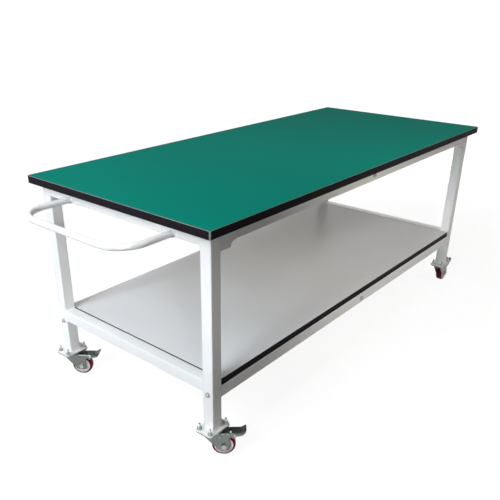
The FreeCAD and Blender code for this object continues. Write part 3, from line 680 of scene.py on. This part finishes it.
@dataclass
class Welds:
    """Weld beads of the two end frames, the base plates and the handle, coated with the frame.

    Attributes:
        tube, tube_corner, handle_tube: the sizes of the tubes that are welded.
        radius, ripple: the bead's mean radius, and the length of one ripple.
        least_swell, swell_range: the share of the radius in a valley, and how far a crest adds.
        sunk: how deep the beads lie in their joints.
        sides, samples: the bead's points round its section and along its path.
        sharp_deg: edges that turn more than this stay sharp.
    """

    tube: float = 40 * MM
    tube_corner: float = 3 * MM
    handle_tube: float = 20 * MM
    radius: float = 2.0 * MM
    ripple: float = 2.6 * MM
    least_swell: float = 0.9
    swell_range: float = 0.2
    sunk: float = 1.0 * MM
    sides: int = 10
    samples: int = 420
    sharp_deg: float = 60.0

    def lay(self, surface: Surface, path: np.ndarray, outward: np.ndarray, up: Point) -> None:
        """Lay a bead along a closed path: a round section whose radius swells once per ripple, as
        the size of a sine of the length along the path.

        Args:
            surface: what the bead is added to.
            path: points of the closed path.
            outward: a unit direction at each point, square to the path.
            up: the other unit direction, square to the path and to outward everywhere.
        """
        step = np.linalg.norm(np.diff(path, axis=0, append=path[:1]), axis=1)
        run = np.concatenate(([0.0], np.cumsum(step)[:-1]))
        ripples = max(1, round(step.sum() / self.ripple))
        crest = np.abs(np.sin(math.pi * ripples * run / step.sum()))
        swell = self.radius * (self.least_swell + self.swell_range * crest)
        turn = full_turn(self.sides)[None, :, None]
        section = np.cos(turn) * outward[:, None] + np.sin(turn) * np.array(up)
        surface.add_grid(path[:, None] + swell[:, None, None] * section, close_rows=True)

    def ring_rails(self, surface: Surface) -> None:
        """Lay a bead round both ends of each end rail, sunk so that it just stands proud.

        Args:
            surface: what the beads are added to.
        """
        half = self.tube / 2 - self.sunk
        flat, outward = rounded_square(half, self.tube_corner, self.samples)
        zeros = np.zeros(self.samples)
        out = np.column_stack((outward[:, 1], zeros, outward[:, 0]))
        for name in ("left_upper", "left_lower", "right_upper", "right_lower"):
            low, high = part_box(f"{name}_end_rail")
            middle = (low + high) / 2
            for end in (low.y, high.y):
                path = np.column_stack((flat[:, 1] + middle.x, zeros + end, flat[:, 0] + middle.z))
                self.lay(surface, path, out, up=(0.0, -1.0, 0.0))

    def ring_plates(self, surface: Surface) -> None:
        """Lay a bead round the foot of each leg.

        Args:
            surface: what the beads are added to.
        """
        half = self.tube / 2 + self.sunk / 2
        flat, outward = rounded_square(half, self.tube_corner, self.samples)
        zeros = np.zeros(self.samples)
        out = np.column_stack((outward, zeros))
        for corner in Corner:
            low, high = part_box(f"{corner.value}_leg")
            middle = (low + high) / 2
            foot = zeros + (low.z + self.sunk / 2)
            path = np.column_stack((flat[:, 0] + middle.x, flat[:, 1] + middle.y, foot))
            self.lay(surface, path, out, up=(0.0, 0.0, -1.0))

    def ring_handle(self, surface: Surface) -> None:
        """Lay a bead round each handle end, where it meets the end rail.

        Args:
            surface: what the beads are added to.
        """
        low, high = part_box("push_handle")
        turn = full_turn(self.samples // 2)
        out = np.column_stack((np.zeros(len(turn)), np.cos(turn), np.sin(turn)))
        for across in (low.y + self.handle_tube / 2, high.y - self.handle_tube / 2):
            centre = np.array((high.x - self.sunk / 2, across, (low.z + high.z) / 2))
            path = centre + (self.handle_tube / 2 + self.sunk / 2) * out
            self.lay(surface, path, out, up=(-1.0, 0.0, 0.0))

    def build(self, finishes: Finishes) -> Piece:
        """Make all beads as one coated piece.

        Args:
            finishes: the finishes to dress it in.

        Returns:
            The piece.
        """
        surface = Surface("weld_beads")
        self.ring_rails(surface)
        self.ring_plates(surface)
        self.ring_handle(surface)
        piece = surface.make(self.sharp_deg)
        finishes.dress(piece, Slot.ENAMEL)
        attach(piece, "bench")
        return piece


@dataclass
class CasterBolts:
    """Sixteen hexagon bolts with washers, chamfered nuts and threaded ends that stand past them.

    Attributes:
        spacing_long, spacing_short: the bolts' distances along and across the bench.
        diameter, pitch, thread_depth: the thread's sizes.
        end_cut: how deep the end's chamfer is, in thread depths.
        flats, head_height, nut_height, chamfer: the sizes of heads and nuts.
        chamfer_slope: the chamfer's rise over its reach.
        washer, washer_thick, washer_arris: the washer's sizes.
        thread_columns, hexagon_columns, washer_columns: points round each shape.
        rows_per_turn, chamfer_rows: rows per turn of the thread and per chamfer.
        sharp_deg: edges that turn more than this stay sharp.
    """

    spacing_long: float = 72 * MM
    spacing_short: float = 44 * MM
    diameter: float = 8 * MM
    pitch: float = 1.25 * MM
    thread_depth: float = 0.7 * MM
    end_cut: float = 1.3
    flats: float = 13 * MM
    head_height: float = 5 * MM
    nut_height: float = 6.5 * MM
    chamfer: float = 0.9 * MM
    chamfer_slope: float = 0.6
    washer: float = 16 * MM
    washer_thick: float = 1.6 * MM
    washer_arris: float = 0.2 * MM
    thread_columns: int = 36
    hexagon_columns: int = 72
    washer_columns: int = 48
    rows_per_turn: int = 8
    chamfer_rows: int = 5
    sharp_deg: float = 25.0

    def centres(self, corner: Corner) -> list[Vector]:
        """Place four bolts in an oblong round a leg's axis.

        Args:
            corner: the leg's corner of the bench.

        Returns:
            A point on each bolt's axis, at floor level.
        """
        low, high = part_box(f"{corner.value}_leg")
        middle = ((low + high) / 2).to_2d().to_3d()
        return [
            middle + Vector((side * self.spacing_long, end * self.spacing_short, 0)) / 2
            for side in (-1, 1)
            for end in (-1, 1)
        ]

    def hexagon(self, turn: np.ndarray) -> np.ndarray:
        """Reach to a side: half the flats over the cosine of the turn from the nearest flat."""
        return self.flats / 2 / np.cos((turn + SIXTH_TURN / 2) % SIXTH_TURN - SIXTH_TURN / 2)

    def hexagon_block(self, bottom: float, top: float, centre: Vector) -> np.ndarray:
        """Shape a nut or a head: at each level the radius is the smaller of the hexagon and a cone
        that closes in towards each end, and both faces end at the thread's root.

        Args:
            bottom: the lower face.
            top: the upper face.
            centre: a point on the bolt's axis.

        Returns:
            A grid of points.
        """
        turn = full_turn(self.hexagon_columns)
        bore = self.diameter / 2 - self.thread_depth
        corner = self.flats / math.sqrt(3)
        fall = np.linspace(0, 1, self.chamfer_rows)
        rise = self.chamfer * fall * self.chamfer_slope
        cone = corner - self.chamfer * (1 - fall)
        limit = np.concatenate(([bore], cone, cone[::-1], [bore]))
        level = np.concatenate(([bottom], bottom + rise, (top - rise)[::-1], [top]))
        radius = np.minimum(self.hexagon(turn)[None, :], limit[:, None])
        return lathe(radius, level, turn, centre, UP)

    def thread(self, bottom: float, top: float, centre: Vector) -> np.ndarray:
        """Cut a thread: the radius dips by the thread's depth once per pitch, as a triangle wave of
        the height less the share of a turn, and closes at the top with a chamfer.

        Args:
            bottom: where the thread leaves the nut.
            top: the bolt's end.
            centre: a point on the bolt's axis.

        Returns:
            A grid of points.
        """
        turn = full_turn(self.thread_columns)
        rows = int((top - bottom) / self.pitch * self.rows_per_turn)
        level = np.linspace(bottom, top, rows)
        phase = (level[:, None] / self.pitch - turn[None, :] / TAU) % 1
        dip = self.thread_depth * np.abs(2 * phase - 1)
        inside = np.minimum(1.0, (top - level) / self.chamfer)[:, None]
        cut = self.thread_depth * self.end_cut * (1 - inside)
        radius = self.diameter / 2 - np.maximum(dip, cut)
        return lathe(radius, level, turn, centre, UP)

    def ring(self, bottom: float, top: float, centre: Vector) -> np.ndarray:
        """Shape a washer: a closed oblong section with small arrises, turned about the bolt.

        Args:
            bottom: the lower face.
            top: the upper face.
            centre: a point on the bolt's axis.

        Returns:
            A grid of points.
        """
        turn = full_turn(self.washer_columns)
        arris, outer, bore = self.washer_arris, self.washer / 2, self.diameter / 2
        radius = np.array((bore, outer - arris, outer, outer, outer - arris, bore))
        level = np.array((bottom, bottom, bottom + arris, top - arris, top, top))
        return lathe(radius, level, turn, centre, UP)

    def build(self, finishes: Finishes) -> Piece:
        """Make all bolts as one piece that stands for the plain CAD ones.

        Args:
            finishes: the finishes to dress it in.

        Returns:
            The piece.
        """
        surface = Surface("caster_bolts_threaded")
        plates_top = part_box("base_plates")[1].z
        bolts_low, bolts_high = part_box("caster_bolts")
        seat = bolts_low.z + self.head_height
        washer_top = plates_top + self.washer_thick
        nut_top = washer_top + self.nut_height
        for corner in Corner:
            for centre in self.centres(corner):
                head = self.hexagon_block(bolts_low.z, seat, centre)
                washer = self.ring(plates_top, washer_top, centre)
                nut = self.hexagon_block(washer_top, nut_top, centre)
                end = self.thread(nut_top - self.pitch, bolts_high.z, centre)
                surface.add_grid(head, caps=True)
                surface.add_grid(washer, close_rows=True)
                surface.add_grid(nut, close_rows=True)
                surface.add_grid(end, caps=True)
        piece = surface.make(self.sharp_deg)
        finishes.dress(piece, Slot.BRIGHT_STEEL)
        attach(piece, "bench")
        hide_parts("caster_bolts")
        return piece


@dataclass
class Tyre:
    """A cast tread with a slight crown, round shoulders and a lip bonded to the wheel's rim.

    Attributes:
        corner: the caster that it runs on.
        radius, thick, width: the tyre's sizes.
        shoulder, crown, lip: the shoulder's radius, the tread's fall and the lip's slope.
        columns: points round the tyre.
        shoulder_rows, tread_rows: points across each shoulder and across the tread.
    """

    corner: Corner
    radius: float = 37.5 * MM
    thick: float = 8 * MM
    width: float = 28 * MM
    shoulder: float = 7 * MM
    crown: float = 0.35 * MM
    lip: float = 0.5 * MM
    columns: int = 144
    shoulder_rows: int = 9
    tread_rows: int = 13

    def profile(self) -> tuple[np.ndarray, np.ndarray]:
        """Draw the section: a tread that falls by the crown with the square of the distance from
        its middle, quarter-round shoulders, and short lips to the bore.

        Returns:
            Radii and places along the axle.
        """
        half, inner = self.width / 2, self.radius - self.thick
        rim = self.radius - self.crown - self.shoulder
        turn = np.linspace(0, QUARTER_TURN, self.shoulder_rows)
        shoulder_r = (rim + self.shoulder * np.sin(turn))[:-1]
        shoulder_h = (-half + self.shoulder * (1 - np.cos(turn)))[:-1]
        tread_h = np.linspace(-1, 1, self.tread_rows) * (half - self.shoulder)
        tread_r = self.radius - self.crown * (tread_h / (half - self.shoulder)) ** 2
        lip_r = np.array((inner, inner + self.lip))
        lip_h = np.array((-half + self.lip, -half))
        radius = np.concatenate((lip_r, shoulder_r, tread_r, shoulder_r[::-1], lip_r[::-1]))
        height = np.concatenate((lip_h, shoulder_h, tread_h, -shoulder_h[::-1], -lip_h[::-1]))
        return radius, height

    def build(self, finishes: Finishes) -> Piece:
        """Make the tyre on its own axle.

        Args:
            finishes: the finishes to dress it in.

        Returns:
            The piece.
        """
        spin = f"{self.corner.value}_wheel_spin"
        joint = next(joint for joint in frame["joints"] if joint["name"] == spin)
        centre, axle = Vector(joint["pos_m"]), Vector(joint["axis"])
        surface = Surface(f"{self.corner.value}_tread")
        grid = lathe(*self.profile(), full_turn(self.columns), centre, axle)
        surface.add_grid(grid, close_rows=True)
        piece = surface.make()
        finishes.dress(piece, Slot.URETHANE)
        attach(piece, f"{self.corner.value}_wheel")
        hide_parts(f"{self.corner.value}_tyre")
        return piece


@dataclass(frozen=True)
class Softbox:
    """An area lamp that faces a point.

    Attributes:
        name: the lamp's name.
        place, target: where it hangs, and the point that it faces.
        size: its width and height.
        watts: its power.
        tint: its colour.
        spread_deg: the angle of its beam, narrow where a grid or a snoot holds it in.
    """

    name: str
    place: Point
    target: Point
    size: tuple[float, float]
    watts: float
    tint: Tint = Tint.NEUTRAL
    spread_deg: float = 180.0

    def build(self) -> None:
        """Hang the lamp."""
        data = bpy.data.lights.new(self.name, "AREA")
        data.shape = "RECTANGLE"
        data.size, data.size_y = self.size
        data.energy = self.watts
        data.color = linear(self.tint.value)[:3]
        data.spread = math.radians(self.spread_deg)
        lamp = bpy.data.objects.new(self.name, data)
        lamp.location = self.place
        ahead = Vector(self.target) - lamp.location
        lamp.rotation_euler = ahead.to_track_quat("-Z", "Y").to_euler()
        bpy.context.scene.collection.objects.link(lamp)


# Softboxes give the main light and its soft shadows, and snoots lift single rails, legs and casters
LAMPS: tuple[Softbox, ...] = (
    Softbox("left_softbox", place=(-3.0, 0.0, 3.0), target=(-0.6, 0.0, 0.4), size=(1.8, 1.8),
            watts=56.0, tint=Tint.COOL),
    Softbox("left_mid_softbox", place=(-3.7, 0.1, 2.0), target=(-0.5, 0.0, 0.4), size=(1.8, 1.8),
            watts=60.0, tint=Tint.COOL),
    Softbox("top_softbox", place=(-0.9, 0.0, 3.4), target=(-0.4, 0.0, 0.76), size=(2.0, 2.0),
            watts=13.0),
    Softbox("top_front_softbox", place=(-1.0, -1.8, 3.2), target=(-0.5, -0.35, 0.5),
            size=(1.2, 1.2), watts=2.0, tint=Tint.WARM),
    Softbox("front_mid_snoot", place=(0.4, -2.6, 1.6), target=(0.0, -0.36, 0.54), size=(0.5, 0.5),
            watts=0.5, tint=Tint.PALE_WARM, spread_deg=24.0),
    Softbox("front_right_snoot", place=(1.2, -2.6, 1.6), target=(0.6, -0.36, 0.52),
            size=(0.5, 0.5), watts=0.19, tint=Tint.PALE_WARM, spread_deg=24.0),
    Softbox("front_high_snoot", place=(0.7, -2.0, 2.6), target=(0.6, -0.2, 0.27), size=(0.6, 0.6),
            watts=0.5, spread_deg=40.0),
    Softbox("left_front_snoot", place=(-2.6, -2.6, 1.6), target=(-0.83, 0.33, 0.36),
            size=(0.3, 0.3), watts=0.5, spread_deg=18.0),
    Softbox("rear_softbox", place=(-2.2, 3.4, 1.5), target=(-0.2, 0.0, 0.35), size=(2.0, 1.4),
            watts=55.0, tint=Tint.PALE_COOL),
    Softbox("right_leg_snoot", place=(-3.6, -1.6, 0.8), target=(0.83, -0.36, 0.22),
            size=(0.3, 0.3), watts=1.0, spread_deg=16.0),
    Softbox("near_leg_snoot", place=(-3.5, -0.45, 1.0), target=(-0.85, -0.36, 0.5),
            size=(0.3, 0.3), watts=0.045, spread_deg=14.0),
    Softbox("front_caster_snoot", place=(-2.4, -2.2, 0.5), target=(-0.83, -0.42, 0.04),
            size=(0.2, 0.2), watts=0.05, spread_deg=8.0),
    Softbox("rear_caster_snoot", place=(-2.9, -1.4, 0.5), target=(-0.83, 0.3, 0.04),
            size=(0.2, 0.2), watts=0.06, spread_deg=8.0),
    Softbox("right_fill", place=(3.5, 1.2, 0.5), target=(0.6, 0.0, 0.4), size=(1.5, 0.5),
            watts=20.0),
)


@dataclass
class Studio:
    """The pale floor, the white surround, the soft lamps and the camera.

    Attributes:
        floor_half: half the floor's side.
        floor_glow: the floor's own light near the bench, which rises to one far off.
        glow_near, glow_far: the reach over which it rises.
        floor_shown, floor_bounce: the floor's tone as seen, and as it lights the bench.
        ambient, ambient_tint: the surround's light on the bench.
        camera_place, azimuth, elevation, roll: where the camera stands and how it is turned.
        image_px, focal_px, axis_px: the picture's side, the focal length and the lens axis.
        sensor_mm: the sensor's width.
        lamps: the lamps.
    """

    floor_half: float = 60.0
    floor_glow: float = 0.9
    glow_near: float = 1.6
    glow_far: float = 5.0
    floor_shown: str = "7C7C7C"
    floor_bounce: str = "5A5A5A"
    ambient: float = 0.085
    ambient_tint: Tint = Tint.AMBER
    camera_place: Point = (-1.8944, -1.3630, 1.2862)
    azimuth: float = math.radians(-50.1)
    elevation: float = math.radians(26.6)
    roll: float = math.radians(0.4)
    image_px: float = 500.0
    focal_px: float = 608.0
    axis_px: tuple[float, float] = (235.8, 299.1)
    sensor_mm: float = 36.0
    lamps: tuple[Softbox, ...] = LAMPS

    def seen(self, tree: Tree) -> Socket:
        """Tell rays that show a surface, direct, mirrored or refracted, from rays that carry light.

        Args:
            tree: the node tree.

        Returns:
            One for rays that show it, else zero.
        """
        path = add_node(tree, "ShaderNodeLightPath")
        mirrored = add_node(
            tree,
            "ShaderNodeMath",
            {0: path.outputs["Is Glossy Ray"], 1: path.outputs["Is Transmission Ray"]},
            operation="ADD",
        )
        seen = add_node(
            tree,
            "ShaderNodeMath",
            {0: path.outputs["Is Camera Ray"], 1: mirrored.outputs[0]},
            operation="ADD",
            use_clamp=True,
        )
        return seen.outputs[0]

    def lay_floor(self) -> None:
        """Lay a plain floor that shows white, keeps the bench's shadow and fades into the surround:
        its own light rises evenly with the reach from the bench's middle."""
        surface = Surface("floor")
        line = np.array((-self.floor_half, self.floor_half))
        across, along = np.meshgrid(line, line)
        grid = np.stack((across, along, np.zeros_like(across)), axis=-1)
        surface.add_grid(grid, close_columns=False)
        floor = surface.make()
        material = bpy.data.materials.new("floor_paper_matt")
        tree = empty_tree(material)
        shown = add_node(tree, "ShaderNodeBsdfDiffuse", {"Color": linear(self.floor_shown)})
        point = add_node(tree, "ShaderNodeTexCoord").outputs["Object"]
        reach = add_node(tree, "ShaderNodeVectorMath", {0: point}, operation="LENGTH")
        fade = add_node(
            tree,
            "ShaderNodeMapRange",
            {
                "Value": reach.outputs["Value"],
                "From Min": self.glow_near,
                "From Max": self.glow_far,
                "To Min": self.floor_glow,
                "To Max": 1.0,
            },
        )
        glow = add_node(tree, "ShaderNodeEmission", {"Strength": fade.outputs["Result"]})
        both = add_node(tree, "ShaderNodeAddShader", {0: shown.outputs[0], 1: glow.outputs[0]})
        bounce = add_node(tree, "ShaderNodeBsdfDiffuse", {"Color": linear(self.floor_bounce)})
        mix = add_node(
            tree,
            "ShaderNodeMixShader",
            {0: self.seen(tree), 1: bounce.outputs[0], 2: both.outputs[0]},
        )
        add_node(tree, "ShaderNodeOutputMaterial", {"Surface": mix.outputs[0]})
        floor.data.materials.append(material)

    def hang_surround(self) -> None:
        """Surround the bench with white as seen and with a faint warm light."""
        world = bpy.data.worlds.new("studio_surround")
        tree = empty_tree(world)
        seen = self.seen(tree)
        ambient, white = linear(self.ambient_tint.value), linear(Tint.NEUTRAL.value)
        tint = add_node(
            tree,
            "ShaderNodeMix",
            {MIX_FACTOR: seen, MIX_A: ambient, MIX_B: white},
            data_type="RGBA",
        )
        strength = add_node(
            tree, "ShaderNodeMapRange", {"Value": seen, "To Min": self.ambient, "To Max": 1.0}
        )
        sky = add_node(
            tree,
            "ShaderNodeBackground",
            {"Color": tint.outputs[MIX_RESULT], "Strength": strength.outputs["Result"]},
        )
        add_node(tree, "ShaderNodeOutputWorld", {"Surface": sky.outputs[0]})
        bpy.context.scene.world = world

    def place_camera(self) -> None:
        """Set the camera where the photograph was taken, with its lens and framing: the axes come
        from the azimuth and the elevation, and the roll turns two of them about the third."""
        level, lift = math.cos(self.elevation), math.sin(self.elevation)
        back = Vector((math.sin(self.azimuth) * level, -math.cos(self.azimuth) * level, lift))
        right = (-back).cross(UP).normalized()
        above = right.cross(-back)
        keep, tip = math.cos(self.roll), math.sin(self.roll)
        axes = Matrix((keep * right + tip * above, keep * above - tip * right, back)).transposed()
        data = bpy.data.cameras.new("photo_camera")
        data.sensor_width = self.sensor_mm
        data.lens = self.focal_px / self.image_px * self.sensor_mm
        data.shift_x = 0.5 - self.axis_px[0] / self.image_px
        data.shift_y = self.axis_px[1] / self.image_px - 0.5
        camera = bpy.data.objects.new("photo_camera", data)
        camera.matrix_world = Matrix.Translation(self.camera_place) @ axes.to_4x4()
        bpy.context.scene.collection.objects.link(camera)
        bpy.context.scene.camera = camera

    def build(self) -> None:
        """Set up the studio."""
        bpy.context.scene.view_settings.view_transform = "Standard"
        self.lay_floor()
        self.hang_surround()
        for lamp in self.lamps:
            lamp.build()
        self.place_camera()


def report(piece: Piece) -> None:
    """Log a piece's name, its number of faces and its finish."""
    finish = piece.data.materials[0].name
    LOG.info("%s: %d faces, %s", piece.name, len(piece.data.polygons), finish)


def main() -> None:
    """Build the looks in order and report each piece."""
    logging.basicConfig(level=logging.INFO, format="%(name)s: %(message)s")
    finishes = Finishes()
    for node in frame["nodes"].values():
        finishes.dress_node(node)
        report(node)
    tyres = [Tyre(corner) for corner in Corner]
    for part in (Welds(), CasterBolts(), *tyres):
        report(part.build(finishes))
    Studio().build()


if __name__ == "__main__":
    main()
